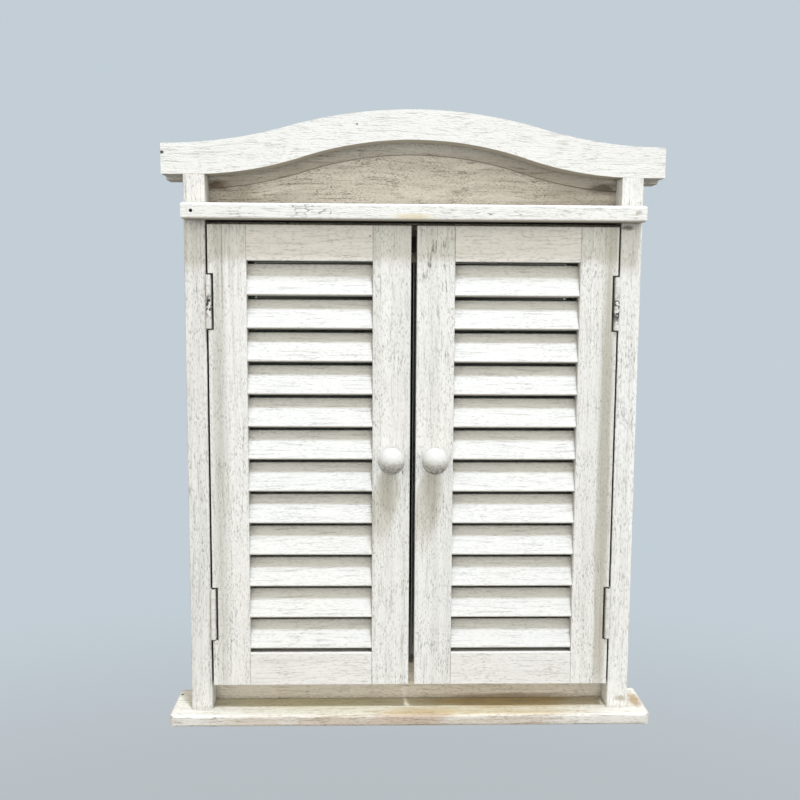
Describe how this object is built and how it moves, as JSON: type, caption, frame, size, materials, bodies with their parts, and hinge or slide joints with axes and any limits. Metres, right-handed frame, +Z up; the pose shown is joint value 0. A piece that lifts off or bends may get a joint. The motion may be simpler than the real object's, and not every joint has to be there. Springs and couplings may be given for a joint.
{
  "type": "shutter mirror",
  "caption": "Wall mirror behind a pair of louvred shutter doors with ball knobs, with a shelf below, a ledge above and an arched crown.",
  "frame": {"origin": "on the wall plane, midway between the centres of the two hanging holes", "axes": "+Z up, +Y into the wall, so the front faces -Y, and +X to the right of someone who faces the mirror"},
  "size_m": [0.47, 0.0796, 0.5895],
  "materials": {
    "bright_steel": "zinc plated",
    "catch_plastic": "moulded, dark brown",
    "hardboard": "pressed fibre board",
    "mirror_glass": "silvered float glass",
    "painted_hinge": "brushed over with white paint, worn at the knuckles",
    "painted_knob": "brushed white paint on turned wood",
    "plated_steel": "zinc plated, pressed",
    "whitewash_crown": "whitewashed open-grain wood, grain along the crown",
    "whitewash_ledge": "whitewashed open-grain wood, grain along the ledge",
    "whitewash_panel": "thin whitewash over warm wood",
    "whitewash_rail": "whitewashed open-grain wood, level grain",
    "whitewash_shelf": "whitewashed open-grain wood, warm stain near the foot of the posts",
    "whitewash_slat": "whitewashed open-grain wood, level grain",
    "whitewash_stile": "whitewashed open-grain wood, upright grain",
    "whitewash_upright": "whitewashed open-grain wood, upright grain"
  },
  "bodies": {
    "frame": {"shelf": "whitewash_shelf", "left_post": "whitewash_upright", "right_post": "whitewash_upright", "ledge": "whitewash_ledge", "crown_front_board": "whitewash_crown", "crown_back_board": "whitewash_crown", "head_board": "whitewash_panel", "bottom_rail": "whitewash_panel", "mirror_glass": "mirror_glass", "back_panel": "hardboard", "glazing_pins": "bright_steel", "frame_nails": "bright_steel", "left_hanger_plate": "plated_steel", "right_hanger_plate": "plated_steel", "magnetic_catch": "catch_plastic", "frame_hinge_leaves": "painted_hinge", "hinge_pins": "bright_steel", "frame_screws": "bright_steel"},
    "left_door": {"left_outer_stile": "whitewash_stile", "left_inner_stile": "whitewash_stile", "left_top_rail": "whitewash_rail", "left_bottom_rail": "whitewash_rail", "left_slat_01": "whitewash_slat", "left_slat_02": "whitewash_slat", "left_slat_03": "whitewash_slat", "left_slat_04": "whitewash_slat", "left_slat_05": "whitewash_slat", "left_slat_06": "whitewash_slat", "left_slat_07": "whitewash_slat", "left_slat_08": "whitewash_slat", "left_slat_09": "whitewash_slat", "left_slat_10": "whitewash_slat", "left_slat_11": "whitewash_slat", "left_slat_12": "whitewash_slat", "left_knob": "painted_knob", "left_knob_screw": "bright_steel", "left_strike_plate": "plated_steel", "left_hinge_leaves": "painted_hinge", "left_door_screws": "bright_steel"},
    "right_door": {"right_outer_stile": "whitewash_stile", "right_inner_stile": "whitewash_stile", "right_top_rail": "whitewash_rail", "right_bottom_rail": "whitewash_rail", "right_slat_01": "whitewash_slat", "right_slat_02": "whitewash_slat", "right_slat_03": "whitewash_slat", "right_slat_04": "whitewash_slat", "right_slat_05": "whitewash_slat", "right_slat_06": "whitewash_slat", "right_slat_07": "whitewash_slat", "right_slat_08": "whitewash_slat", "right_slat_09": "whitewash_slat", "right_slat_10": "whitewash_slat", "right_slat_11": "whitewash_slat", "right_slat_12": "whitewash_slat", "right_knob": "painted_knob", "right_knob_screw": "bright_steel", "right_strike_plate": "plated_steel", "right_hinge_leaves": "painted_hinge", "right_door_screws": "bright_steel"}
  },
  "joints": [
    {"name": "left_door_hinge", "type": "hinge", "parent": "frame", "child": "left_door", "pos_m": [-0.1924, -0.051, -0.2195], "axis": [0, 0, -1], "range_deg": [0, 180]},
    {"name": "right_door_hinge", "type": "hinge", "parent": "frame", "child": "right_door", "pos_m": [0.1924, -0.051, -0.2195], "axis": [0, 0, 1], "range_deg": [0, 180]}
  ]
}
